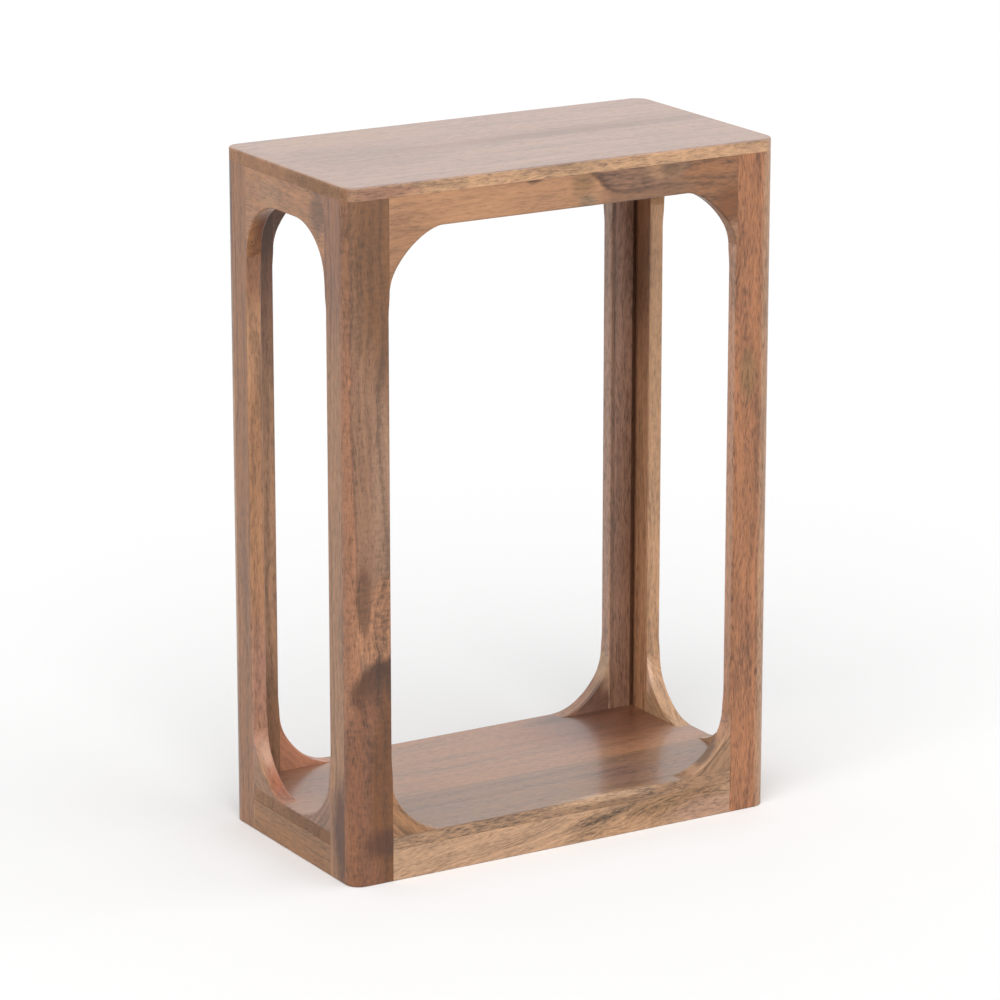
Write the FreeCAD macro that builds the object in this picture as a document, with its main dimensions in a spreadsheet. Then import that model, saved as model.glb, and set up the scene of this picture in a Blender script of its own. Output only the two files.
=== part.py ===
import FreeCAD, Part
import Sketcher

import math
import operator
import os
from typing import NamedTuple

# End table with a low shelf: an arched frame of solid boards under a top that is flush with the legs.
# Millimetres. The origin is the middle of the footprint on the floor, +X runs along the table's width
# to the right, +Y along its depth to the back and +Z up.
DRIVING_SIZES = {
    "table_width": 450,
    "table_depth": 230,
    "table_height": 645,
    "board_thick": 15,
    "top_thick": 12,
    "shelf_thick": 12,
    "leg_width": 42,
    "corner_radius": 14,
    "apron_height": 30,
    "rail_height": 30,
    "ear_reach": 50,
    "arch_radius": 75,
    "end_arch_radius": 58,
    "edge_ease": 1,
    "top_back_width": 100,
    "shelf_front_width": 92,
    "notch_gap": 0.2,
    "tenon_thick": 5,
    "tenon_length": 14,
    "tenon_shoulder": 5,
    "mortise_gap": 0.1,
    "mortise_end_gap": 0.5,
    "dowel_diameter": 6,
    "dowel_length": 20,
    "dowel_bite": 8,
    "dowel_inset": 33,
    "dowel_gap": 0.1,
    "dowel_end_gap": 0.5,
}

ARITHMETIC = {"+": operator.add, "-": operator.sub, "*": operator.mul, "/": operator.truediv}


class Size:
    """A length: its present value in mm, and the formula that ties it to the sheet's cells."""

    def __init__(self, value, formula):
        self.value = value
        self.formula = formula

    def combined(self, sign, other):
        other = other if isinstance(other, Size) else Size(other, f"({other})")
        value = ARITHMETIC[sign](self.value, other.value)
        return Size(value, f"({self.formula} {sign} {other.formula})")

    def __add__(self, other):
        return self.combined("+", other)

    def __sub__(self, other):
        return self.combined("-", other)

    def __mul__(self, factor):
        return self.combined("*", factor)

    def __truediv__(self, divisor):
        return self.combined("/", divisor)

    def __neg__(self):
        return self * -1


def least(first, second):
    return Size(min(first.value, second.value), f"min({first.formula}; {second.formula})")


def driving_sheet(document):
    """Writes the driving sizes to a sheet and returns them by name."""
    sheet = document.addObject("Spreadsheet::Sheet", "Sizes")
    sizes = {}
    for row, (name, value) in enumerate(DRIVING_SIZES.items(), start=1):
        sheet.set(f"A{row}", name)
        sheet.set(f"B{row}", str(value))
        sheet.setAlias(f"B{row}", name)
        sizes[name] = Size(value, f"Sizes.{name}")
    document.recompute()
    return sizes


doc = FreeCAD.newDocument("end_table")
size = driving_sheet(doc)

# Sizes that follow from the driving ones
NOUGHT = size["table_width"] * 0
THICK = size["board_thick"]
HALF_THICK = THICK / 2
HALF_WIDTH = size["table_width"] / 2
HALF_DEPTH = size["table_depth"] / 2
LEG_WIDTH = size["leg_width"]
LEG_LENGTH = size["table_height"] - size["top_thick"]
EASE = size["edge_ease"]
CORNER = least(size["corner_radius"], THICK - EASE)
UNDERSIDE = LEG_LENGTH - size["apron_height"]
EAR_TIP = UNDERSIDE - size["ear_reach"]
SHELF_TOP = size["rail_height"] + size["shelf_thick"]
BRACKET_TIP = SHELF_TOP + size["ear_reach"]
TENON_HALF = size["tenon_thick"] / 2
RAIL_TENON = (size["tenon_shoulder"], size["rail_height"] - size["tenon_shoulder"])
APRON_TENON = (UNDERSIDE + size["tenon_shoulder"], LEG_LENGTH - size["tenon_shoulder"])
MORTISE_HALF = TENON_HALF + size["mortise_gap"]
MORTISE_DEPTH = size["tenon_length"] + size["mortise_end_gap"]
DOWEL_RADIUS = size["dowel_diameter"] / 2
HOLE_RADIUS = DOWEL_RADIUS + size["dowel_gap"]
PANEL_HOLE = size["dowel_bite"] + size["dowel_end_gap"]
FRAME_BITE = size["dowel_length"] - size["dowel_bite"]
FRAME_HOLE = FRAME_BITE + size["dowel_end_gap"]


class Side(NamedTuple):
    """One side of the frame. Its boards lie along local X, with their outer faces towards local -Y."""

    name: str
    turn: int
    half_span: Size
    x: Size
    y: Size
    ends: tuple

    def half_opening(self):
        return self.half_span - LEG_WIDTH


SIDES = [
    Side("front", 0, HALF_WIDTH, NOUGHT, HALF_THICK - HALF_DEPTH, ("left", "right")),
    Side("right", 90, HALF_DEPTH, HALF_WIDTH - HALF_THICK, NOUGHT, ("front", "back")),
    Side("back", 180, HALF_WIDTH, NOUGHT, HALF_DEPTH - HALF_THICK, ("right", "left")),
    Side("left", 270, HALF_DEPTH, HALF_THICK - HALF_WIDTH, NOUGHT, ("back", "front")),
]
WHOLE_TABLE = Side("table", 0, HALF_WIDTH, NOUGHT, NOUGHT, ())
HANDS = (-1, 1)
TO_LEFT, TO_RIGHT = 1, -1
UPWARD = FreeCAD.Vector(0, 0, 1)
SAME_PLACE = 1e-6
sub_parts = []


def bind(thing, place, length):
    thing.setExpression(place, length.formula)


def new_body(label, side):
    """An empty sub-part, in the local frame of its side of the table."""
    body = doc.addObject("PartDesign::Body", label)
    body.Label = label
    body.Placement = FreeCAD.Placement(FreeCAD.Vector(), FreeCAD.Rotation(UPWARD, side.turn))
    bind(body, "Placement.Base.x", side.x)
    bind(body, "Placement.Base.y", side.y)
    sub_parts.append(body)
    return body


def body_plane(body, role):
    return next(feature for feature in body.Origin.OriginFeatures if feature.Role == role)


def new_sketch(body, role, offset=NOUGHT):
    """A sketch on one of the body's origin planes, moved along the plane's normal by the offset."""
    sketch = body.newObject("Sketcher::SketchObject", "Sketch")
    sketch.AttachmentSupport = (body_plane(body, role), [""])
    sketch.MapMode = "FlatFace"
    bind(sketch, "AttachmentOffset.Base.z", offset)
    return sketch


def bound_constraint(sketch, length, *constraint):
    index = sketch.addConstraint(Sketcher.Constraint(*constraint, length.value))
    sketch.setExpression(f"Constraints[{index}]", length.formula)


def pin_point(sketch, curve, end, x, y):
    """Holds one point of a curve at (x, y) from the sketch's origin."""
    bound_constraint(sketch, x, "DistanceX", -1, 1, curve, end)
    bound_constraint(sketch, y, "DistanceY", -1, 1, curve, end)


def arc_between(start, end, radius, bend):
    """The short arc from start to end. With bend TO_LEFT its centre lies left of the way from start to end."""
    chord = end - start
    rise = math.sqrt(radius**2 - (chord.Length / 2) ** 2)
    leftward = FreeCAD.Vector(-chord.y, chord.x, 0).normalize()
    centre = (start + end) / 2 + leftward * (rise * bend)
    first, last = (start, end) if bend == TO_LEFT else (end, start)
    angles = [math.atan2(point.y - centre.y, point.x - centre.x) for point in (first, last)]
    return Part.ArcOfCircle(Part.Circle(centre, UPWARD, radius), *angles)


def add_outline(sketch, corners):
    """Draws a closed outline through the corners. A corner is (x, y), or (x, y, radius, bend) where the
    side that leaves it is an arc."""
    points = [FreeCAD.Vector(corner[0].value, corner[1].value, 0) for corner in corners]
    sides = []
    for corner, start, end in zip(corners, points, points[1:] + points[:1]):
        if len(corner) == 2:
            curve = sketch.addGeometry(Part.LineSegment(start, end))
            sides.append((curve, 1, 2))
            continue
        radius, bend = corner[2:]
        curve = sketch.addGeometry(arc_between(start, end, radius.value, bend))
        sides.append((curve, 1, 2) if bend == TO_LEFT else (curve, 2, 1))
    for (curve, _, finish), (following, start, _) in zip(sides, sides[1:] + sides[:1]):
        sketch.addConstraint(Sketcher.Constraint("Coincident", curve, finish, following, start))
    for corner, (curve, start, _) in zip(corners, sides):
        pin_point(sketch, curve, start, *corner[:2])
        if len(corner) > 2:
            bound_constraint(sketch, corner[2], "Radius", curve)


def rectangle(left, right, low, high):
    return [(left, low), (right, low), (right, high), (left, high)]


def add_circles(sketch, centres, radius):
    for x, y in centres:
        circle = Part.Circle(FreeCAD.Vector(x.value, y.value, 0), UPWARD, radius.value)
        curve = sketch.addGeometry(circle)
        pin_point(sketch, curve, 3, x, y)
        bound_constraint(sketch, radius, "Radius", curve)


def pad(body, sketch, length):
    feature = body.newObject("PartDesign::Pad", "Pad")
    feature.Profile = sketch
    bind(feature, "Length", length)
    doc.recompute()
    return feature


def pocket(body, sketch, depth, along_normal=False):
    """Cuts the sketch into the body, against the sketch's normal or along it, and checks that it cuts."""
    before = body.Shape.Volume
    feature = body.newObject("PartDesign::Pocket", "Pocket")
    feature.Profile = sketch
    feature.Reversed = along_normal
    bind(feature, "Length", depth)
    doc.recompute()
    if body.Shape.Volume >= before:
        raise RuntimeError(f"{body.Label}: a pocket cuts nothing")
    return feature


def mirror_ends(body, originals):
    """Repeats features across the middle of a board's length."""
    feature = body.newObject("PartDesign::Mirrored", "Mirrored")
    feature.Originals = originals
    feature.MirrorPlane = (body_plane(body, "YZ_Plane"), [""])
    body.Tip = feature
    doc.recompute()


def ease_edges(body, chosen):
    """Takes the sharpness off the arrises for which chosen(edge) is true."""
    base = body.Tip
    names = [f"Edge{place}" for place, edge in enumerate(base.Shape.Edges, start=1) if chosen(edge)]
    feature = body.newObject("PartDesign::Chamfer", "Chamfer")
    feature.Base = (base, names)
    bind(feature, "Size", EASE)
    doc.recompute()


def joint_ends(body, half, tenon, upper_face):
    """Cuts a tenon on each end of a board, and drills its upper face for two dowels."""
    tenon_end = new_sketch(body, "YZ_Plane", half)
    add_outline(tenon_end, rectangle(-TENON_HALF, TENON_HALF, *tenon))
    dowel_hole = new_sketch(body, "XY_Plane", upper_face)
    add_circles(dowel_hole, [(half - size["dowel_inset"], NOUGHT)], HOLE_RADIUS)
    tongue = pad(body, tenon_end, size["tenon_length"])
    mirror_ends(body, [tongue, pocket(body, dowel_hole, FRAME_HOLE)])


def arch_reach(half):
    """How far an ear or a bracket reaches along its opening, which is at most to near the middle."""
    return least(size["ear_reach"], half - EASE * 2)


def make_rail(side):
    """Bottom rail: a plain board between two legs, tenoned into them and doweled to the shelf above."""
    half = side.half_opening()
    body = new_body(f"{side.name}_rail", side)
    section = new_sketch(body, "XY_Plane")
    add_outline(section, rectangle(-half, half, -HALF_THICK, HALF_THICK))
    pad(body, section, size["rail_height"])
    joint_ends(body, half, RAIL_TENON, size["rail_height"])


def make_apron(side):
    """Apron: one board sawn to an arch, with an ear down each leg, tenoned to the legs and doweled to the top.
    The arches of the two narrow sides are rounder than those of the front and back."""
    half = side.half_opening()
    crown = half - arch_reach(half)
    radius = size["end_arch_radius" if side.name in ("left", "right") else "arch_radius"]
    body = new_body(f"{side.name}_apron", side)
    arch = new_sketch(body, "XZ_Plane", -HALF_THICK)
    add_outline(
        arch,
        [
            (-half, LEG_LENGTH),
            (-half, EAR_TIP, radius, TO_RIGHT),
            (-crown, UNDERSIDE),
            (crown, UNDERSIDE, radius, TO_RIGHT),
            (half, EAR_TIP),
            (half, LEG_LENGTH),
        ],
    )
    pad(body, arch, THICK)
    ease_edges(body, lambda edge: is_arch_edge(edge, half.value))
    joint_ends(body, half, APRON_TENON, LEG_LENGTH)


def is_arch_edge(edge, half):
    """True for the arrises along an apron's arch, on its front and its back."""
    box = edge.BoundBox
    inside = abs(box.Center.x) < half - SAME_PLACE and box.Center.z < LEG_LENGTH.value - SAME_PLACE
    return box.YLength < SAME_PLACE and inside


def make_bracket(side, end, hand):
    """Corner bracket: a hollowed board, glued to the shelf that it stands on and to the leg's edge."""
    half = side.half_opening()
    body = new_body(f"{side.name}_bracket_{end}", side)
    profile = new_sketch(body, "XZ_Plane", -HALF_THICK)
    add_outline(
        profile,
        [
            (half * hand, SHELF_TOP),
            (half * hand, BRACKET_TIP, size["arch_radius"], TO_RIGHT * hand),
            ((half - arch_reach(half)) * hand, SHELF_TOP),
        ],
    )
    pad(body, profile, THICK)
    ease_edges(body, lambda edge: edge.Curve.TypeId == "Part::GeomCircle")


def finish_leg_board(body, edge, hand):
    """Eases a leg board's two inner arrises between ear and bracket, and mortises its inner edge."""
    arrises = new_sketch(body, "XY_Plane", BRACKET_TIP)
    for face in HANDS:
        add_outline(
            arrises,
            [
                (edge, HALF_THICK * face),
                (edge + EASE * hand, HALF_THICK * face),
                (edge, (HALF_THICK - EASE) * face),
            ],
        )
    pocket(body, arrises, EAR_TIP - BRACKET_TIP, along_normal=True)
    mortises = new_sketch(body, "YZ_Plane", edge)
    for low, high in (RAIL_TENON, APRON_TENON):
        gap = size["mortise_gap"]
        add_outline(mortises, rectangle(-MORTISE_HALF, MORTISE_HALF, low - gap, high + gap))
    pocket(body, mortises, MORTISE_DEPTH, along_normal=hand > 0)


def make_leg_face(side, end, hand):
    """Wide board of an L-shaped leg. It carries the table's rounded outer corner."""
    outside = side.half_span * hand
    edge = side.half_opening() * hand
    body = new_body(f"{side.name}_{end}_leg_face", side)
    section = new_sketch(body, "XY_Plane")
    add_outline(
        section,
        [
            (edge, -HALF_THICK),
            (outside - CORNER * hand, -HALF_THICK, CORNER, TO_LEFT * hand),
            (outside, CORNER - HALF_THICK),
            (outside, HALF_THICK),
            (edge, HALF_THICK),
        ],
    )
    pad(body, section, LEG_LENGTH)
    finish_leg_board(body, edge, hand)


def make_leg_return(side, end, hand):
    """Narrow board of an L-shaped leg, glued with its edge against the back of the face board."""
    seam = (side.half_span - THICK) * hand
    edge = side.half_opening() * hand
    body = new_body(f"{end}_{side.name}_leg_return", side)
    section = new_sketch(body, "XY_Plane")
    add_outline(section, rectangle(edge, seam, -HALF_THICK, HALF_THICK))
    pad(body, section, LEG_LENGTH)
    finish_leg_board(body, edge, hand)


def dowel_places():
    """The places in plan of the dowels that hold the top to the aprons and the shelf to the rails."""
    long_x = HALF_WIDTH - LEG_WIDTH - size["dowel_inset"]
    end_y = HALF_DEPTH - LEG_WIDTH - size["dowel_inset"]
    corner_pair = [(long_x, HALF_DEPTH - HALF_THICK), (HALF_WIDTH - HALF_THICK, end_y)]
    return [(x * across, y * along) for x, y in corner_pair for across in HANDS for along in HANDS]


def drill_panel(body, underside):
    """Drills a panel's dowel holes from below. The panel is drilled after it is glued up, so each of its
    boards takes whatever part of each hole falls on it."""
    holes = new_sketch(body, "XY_Plane", underside)
    add_circles(holes, dowel_places(), HOLE_RADIUS)
    pocket(body, holes, PANEL_HOLE, along_normal=True)


def make_shelf_board(end, hand, joint):
    """One of the two boards of the shelf. It is notched round the L of each leg and shows on all sides."""
    gap = size["notch_gap"]
    outer = HALF_DEPTH * hand
    tongue = HALF_WIDTH - LEG_WIDTH - gap
    inner = HALF_WIDTH - THICK - gap
    behind_face = outer - (THICK + gap) * hand
    behind_leg = outer - (LEG_WIDTH + gap) * hand
    right_half = [
        (HALF_WIDTH, joint),
        (HALF_WIDTH, behind_leg),
        (inner, behind_leg),
        (inner, behind_face),
        (tongue, behind_face),
        (tongue, outer),
    ]
    body = new_body(f"shelf_{end}_board", WHOLE_TABLE)
    outline = new_sketch(body, "XY_Plane", size["rail_height"])
    add_outline(outline, right_half + [(-x, y) for x, y in reversed(right_half)])
    pad(body, outline, size["shelf_thick"])
    drill_panel(body, size["rail_height"])


def make_top_board(end, hand, joint):
    """One of the two boards of the top, from the glue joint to the table's front or back edge."""
    outer = HALF_DEPTH * hand
    body = new_body(f"top_{end}_board", WHOLE_TABLE)
    outline = new_sketch(body, "XY_Plane", LEG_LENGTH)
    add_outline(
        outline,
        [
            (HALF_WIDTH, joint),
            (HALF_WIDTH, outer - CORNER * hand, CORNER, TO_LEFT * hand),
            (HALF_WIDTH - CORNER, outer),
            (CORNER - HALF_WIDTH, outer, CORNER, TO_LEFT * hand),
            (-HALF_WIDTH, outer - CORNER * hand),
            (-HALF_WIDTH, joint),
        ],
    )
    pad(body, outline, size["top_thick"])
    ease_edges(body, lambda edge: is_rim_edge(edge, joint.value))
    drill_panel(body, LEG_LENGTH)


def is_rim_edge(edge, joint):
    """True for a top board's level edges, apart from those along the glue joint."""
    box = edge.BoundBox
    on_joint = box.YLength < SAME_PLACE and abs(box.Center.y - joint) < SAME_PLACE
    return box.ZLength < SAME_PLACE and not on_joint


def make_dowels(label, underside):
    """Upright dowels between a panel and the boards that carry it, as one group of separate pegs."""
    body = new_body(label, WHOLE_TABLE)
    ends = new_sketch(body, "XY_Plane", underside - FRAME_BITE)
    add_circles(ends, dowel_places(), DOWEL_RADIUS)
    pad(body, ends, size["dowel_length"])


def make_table():
    for side in SIDES:
        make_rail(side)
        make_apron(side)
        make_leg_board = make_leg_face if side.name in ("front", "back") else make_leg_return
        for hand, end in zip(HANDS, side.ends):
            make_leg_board(side, end, hand)
            make_bracket(side, end, hand)
    for hand, end in zip(HANDS, ("front", "back")):
        make_shelf_board(end, hand, size["shelf_front_width"] - HALF_DEPTH)
        make_top_board(end, hand, HALF_DEPTH - size["top_back_width"])
    make_dowels("shelf_dowels", size["rail_height"])
    make_dowels("top_dowels", LEG_LENGTH)


def check_and_write():
    doc.recompute()
    for thing in doc.Objects:
        if "Invalid" in thing.State or "Error" in thing.State:
            raise RuntimeError(f"{thing.Label} did not recompute: {thing.State}")
    for part in sub_parts:
        if part.Shape.isNull() or not part.Shape.isValid():
            raise RuntimeError(f"{part.Label} has no valid shape")
    os.makedirs("parts", exist_ok=True)
    for part in sub_parts:
        part.Shape.exportStep(f"parts/{part.Label}.step")


make_table()
check_and_write()
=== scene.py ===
import math
from typing import NamedTuple

import bpy
import numpy as np
from mathutils import Matrix, Vector


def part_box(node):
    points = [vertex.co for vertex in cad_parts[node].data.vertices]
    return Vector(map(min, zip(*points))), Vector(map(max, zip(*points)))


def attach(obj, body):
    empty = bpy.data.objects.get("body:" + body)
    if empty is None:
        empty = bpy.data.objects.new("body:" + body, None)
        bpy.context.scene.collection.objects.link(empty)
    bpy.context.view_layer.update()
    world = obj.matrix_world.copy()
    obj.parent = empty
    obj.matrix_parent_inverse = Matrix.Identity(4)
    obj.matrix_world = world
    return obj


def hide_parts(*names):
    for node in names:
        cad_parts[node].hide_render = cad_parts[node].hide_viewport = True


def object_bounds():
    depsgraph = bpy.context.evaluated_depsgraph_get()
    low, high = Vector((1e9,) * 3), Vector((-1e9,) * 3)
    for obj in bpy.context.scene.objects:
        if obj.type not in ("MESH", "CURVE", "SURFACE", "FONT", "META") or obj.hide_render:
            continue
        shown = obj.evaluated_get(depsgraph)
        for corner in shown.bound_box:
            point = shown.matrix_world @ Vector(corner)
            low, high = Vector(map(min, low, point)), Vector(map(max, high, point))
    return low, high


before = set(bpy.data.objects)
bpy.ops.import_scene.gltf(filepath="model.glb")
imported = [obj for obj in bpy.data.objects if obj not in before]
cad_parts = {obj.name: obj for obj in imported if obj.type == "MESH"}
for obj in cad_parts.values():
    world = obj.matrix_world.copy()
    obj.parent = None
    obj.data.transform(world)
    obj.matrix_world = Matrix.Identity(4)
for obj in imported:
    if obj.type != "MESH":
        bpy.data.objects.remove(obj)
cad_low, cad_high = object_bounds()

# Legs
# Each leg is two mango boards glued into an L: a wide face board with its outer corner planed round, and a
# narrow return board glued behind it. Sanding leaves the inner arrises soft from bracket to ear.
MM = 0.001
HAIRLINE = 0.12 * MM
SMALLEST_ROUND = HAIRLINE / 4
SOFT_ARRIS = 2.8 * MM
SEAM_ARRIS = 2.2 * MM
ARRIS_FADE = 20 * MM
FADE_STEPS = 9
LEG_CORNER = 14 * MM
FOOT_EASE = 1.0 * MM
HALF_WIDTH = cad_high.x
HALF_DEPTH = cad_high.y
LEG_EDGE_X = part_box("front_right_leg_face")[0].x
LEG_EDGE_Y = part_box("back_right_leg_return")[0].y
LEG_SEAM_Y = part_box("back_right_leg_return")[1].y
LEG_INNER_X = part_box("back_right_leg_return")[0].x
LEG_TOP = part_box("front_right_leg_face")[1].z
SHELF_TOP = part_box("front_bracket_left")[0].z
APRON_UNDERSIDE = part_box("front_apron")[0].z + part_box("front_bracket_left")[1].z - SHELF_TOP
ARCH_REACH = 56 * MM
BRACKET_TIP = SHELF_TOP + ARCH_REACH
EAR_TIP = APRON_UNDERSIDE - ARCH_REACH
ROUND_STEPS = 6
QUARTER = np.linspace(0, math.pi / 2, ROUND_STEPS)
SHARP_EDGE = math.radians(35)


def rounded_outline(corners, radii):
    """Outlines whose square corners are quarter rounds. At each corner, with unit ways in and out and the
    round's radius r, the points are corner + r ((sin a - 1) way in + (1 - cos a) way out), a from 0 to 90."""
    way_in = corners - np.roll(corners, 1, axis=-2)
    way_in = way_in / np.linalg.norm(way_in, axis=-1, keepdims=True)
    way_out = np.roll(way_in, -1, axis=-2)
    lag = (np.sin(QUARTER) - 1)[:, None] * way_in[..., None, :]
    lead = (1 - np.cos(QUARTER))[:, None] * way_out[..., None, :]
    points = corners[..., None, :] + radii[..., None, None] * (lag + lead)
    return points.reshape(*corners.shape[:-2], -1, 2)


def smooth_step(share):
    """0 up to a share of 0, 1 from a share of 1, and 3 s^2 - 2 s^3 between."""
    share = np.clip(share, 0, 1)
    return share * share * (3 - 2 * share)


def leg_rings(corners, arrises):
    """The leg board's section at each height, as rings of (x, y, z). The corner radii are those given, but an
    arris that is None swells from a hairline to its soft radius between bracket tip and ear tip. The foot is
    eased by a quarter round, and the head by a hairline."""
    fade = np.linspace(-ARRIS_FADE, ARRIS_FADE, FADE_STEPS)
    rise, draw = 1 - np.cos(QUARTER), 1 - np.sin(QUARTER)
    height = [FOOT_EASE * rise, BRACKET_TIP + fade, EAR_TIP + fade, LEG_TOP - HAIRLINE * rise[::-1]]
    height = np.concatenate(height)
    inset = np.concatenate([FOOT_EASE * draw, np.zeros(2 * len(fade)), HAIRLINE * draw[::-1]])
    free = smooth_step((height - BRACKET_TIP) / ARRIS_FADE) * smooth_step((EAR_TIP - height) / ARRIS_FADE)
    soft = HAIRLINE + free * (SOFT_ARRIS - HAIRLINE)
    radii = [soft if radius is None else np.full_like(height, radius) for radius in arrises]
    radii = np.maximum(np.stack(radii, axis=-1) - inset[:, None], SMALLEST_ROUND)
    moved = corners - np.sign(corners - corners.mean(axis=0)) * inset[:, None, None]
    section = rounded_outline(moved, radii)
    level = np.broadcast_to(height[:, None, None], (*section.shape[:2], 1))
    return np.concatenate([section, level], axis=-1)


def skin(name, rings):
    """Closed surface through a stack of rings, an array of (rings, points, 3): quads join each ring to the
    next, and one flat face fills the first ring and one the last."""
    count, points = rings.shape[:2]
    here = np.arange(count * points).reshape(count, points)
    ahead = np.roll(here, -1, axis=1)
    quads = np.stack([here[:-1], ahead[:-1], ahead[1:], here[1:]], axis=-1).reshape(-1, 4)
    mesh = bpy.data.meshes.new(name)
    mesh.from_pydata(rings.reshape(-1, 3), [], quads.tolist() + [here[0, ::-1].tolist(), here[-1].tolist()])
    mesh.shade_smooth()
    mesh.set_sharp_from_angle(angle=SHARP_EDGE)
    piece = bpy.data.objects.new(name, mesh)
    bpy.context.scene.collection.objects.link(piece)
    flat = piece.modifiers.new("flat faces stay flat", "WEIGHTED_NORMAL")
    flat.weight = 100
    flat.keep_sharp = True
    return piece


def linear(code):
    """Linear RGBA of an sRGB hex colour."""
    share = np.array([int(code[place : place + 2], 16) / 255 for place in (1, 3, 5)])
    return *np.where(share > 0.04045, ((share + 0.055) / 1.055) ** 2.4, share / 12.92), 1.0


def add(tree, kind, inputs, **settings):
    """Adds a node with its settings, and gives each input a value or a link. Returns its outputs."""
    node = tree.nodes.new("ShaderNode" + kind)
    for name, value in settings.items():
        setattr(node, name, value)
    for socket, value in inputs.items():
        if isinstance(value, bpy.types.NodeSocket):
            tree.links.new(value, node.inputs[socket])
        else:
            node.inputs[socket].default_value = value
    return node.outputs


class StainOrPaintedLight(NamedTuple):
    """An ellipsoid of a board with its own colour, in mm: heartwood, an eye, the grain at the rim, and in
    some places painted shade and painted light. Its edge fades over soft and is ragged by fray, as shares of
    the half sizes. Swirl bends the growth lines round it, and depth is its contrast."""

    centre: tuple
    half: tuple
    colour: str
    soft: float = 0.3
    fray: float = 0.5
    swirl: float = 0.0
    depth: float = 0.4


DARK_TONE, MIDDLE_TONE, LIGHT_TONE = 0.38, 0.5, 0.62
LIGHT_LIFT = 0.7


def grained(tree, tone, code, depth):
    """Colour of the wood at each tone: the code's at the middle, darker by depth below it, lighter above."""
    middle = np.array(linear(code)[:3])
    colour = *middle * (1 - depth), 1.0
    steps = (DARK_TONE, MIDDLE_TONE, 1.0), (MIDDLE_TONE, LIGHT_TONE, 1 + LIGHT_LIFT * depth)
    for low, high, lift in steps:
        share = add(tree, "MapRange", {0: tone, 1: low, 2: high})[0]
        colour = add(tree, "Mix", {0: share, 6: colour, 7: (*middle * lift, 1.0)}, data_type="RGBA")[2]
    return colour


# lengths of the wood's patterns in mm, along the board, across it and through it, and from board to board
RAGGED_GRAIN = (24, 9, 9)
BENT_GRAIN = (170, 50, 50)
WANDERING_COLOUR = (90, 20, 20)
PORE = (9, 0.8, 1.2)
NEXT_BOARD = Vector((173, 61, 37))
# the way in which the wood grew, what each pattern adds to its lines' sway, and an eye's reach in half sizes
GROWTH_WAY = (0, 0.9, 0.44)
BEND_SWAY, RAGGED_SWAY = 2, 1 / 4
EYE_REACH = 1.3
# shares of the tone, and the noise over which lines grow from faint to strong and pores from none to dark
NOISE_MEAN = 0.5
WANDER_SHARE, MOTTLE_SHARE = 0.4, 0.32
FIGURE_NOISE, FIGURE_SHARE = (0.35, 0.65), (0.4, 1.6)
PORE_NOISE, PORE_COLOUR = (0.54, 0.74), "#7f604c"
# satin lacquer: its roughness over a range of noise, and its shine from long grain to end grain
SATIN_NOISE, SATIN = (0.3, 0.7), (0.42, 0.52)
END_GRAIN, END_GRAIN_SHINE = (0.6, 0.95), (0.5, 0.25)


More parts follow.
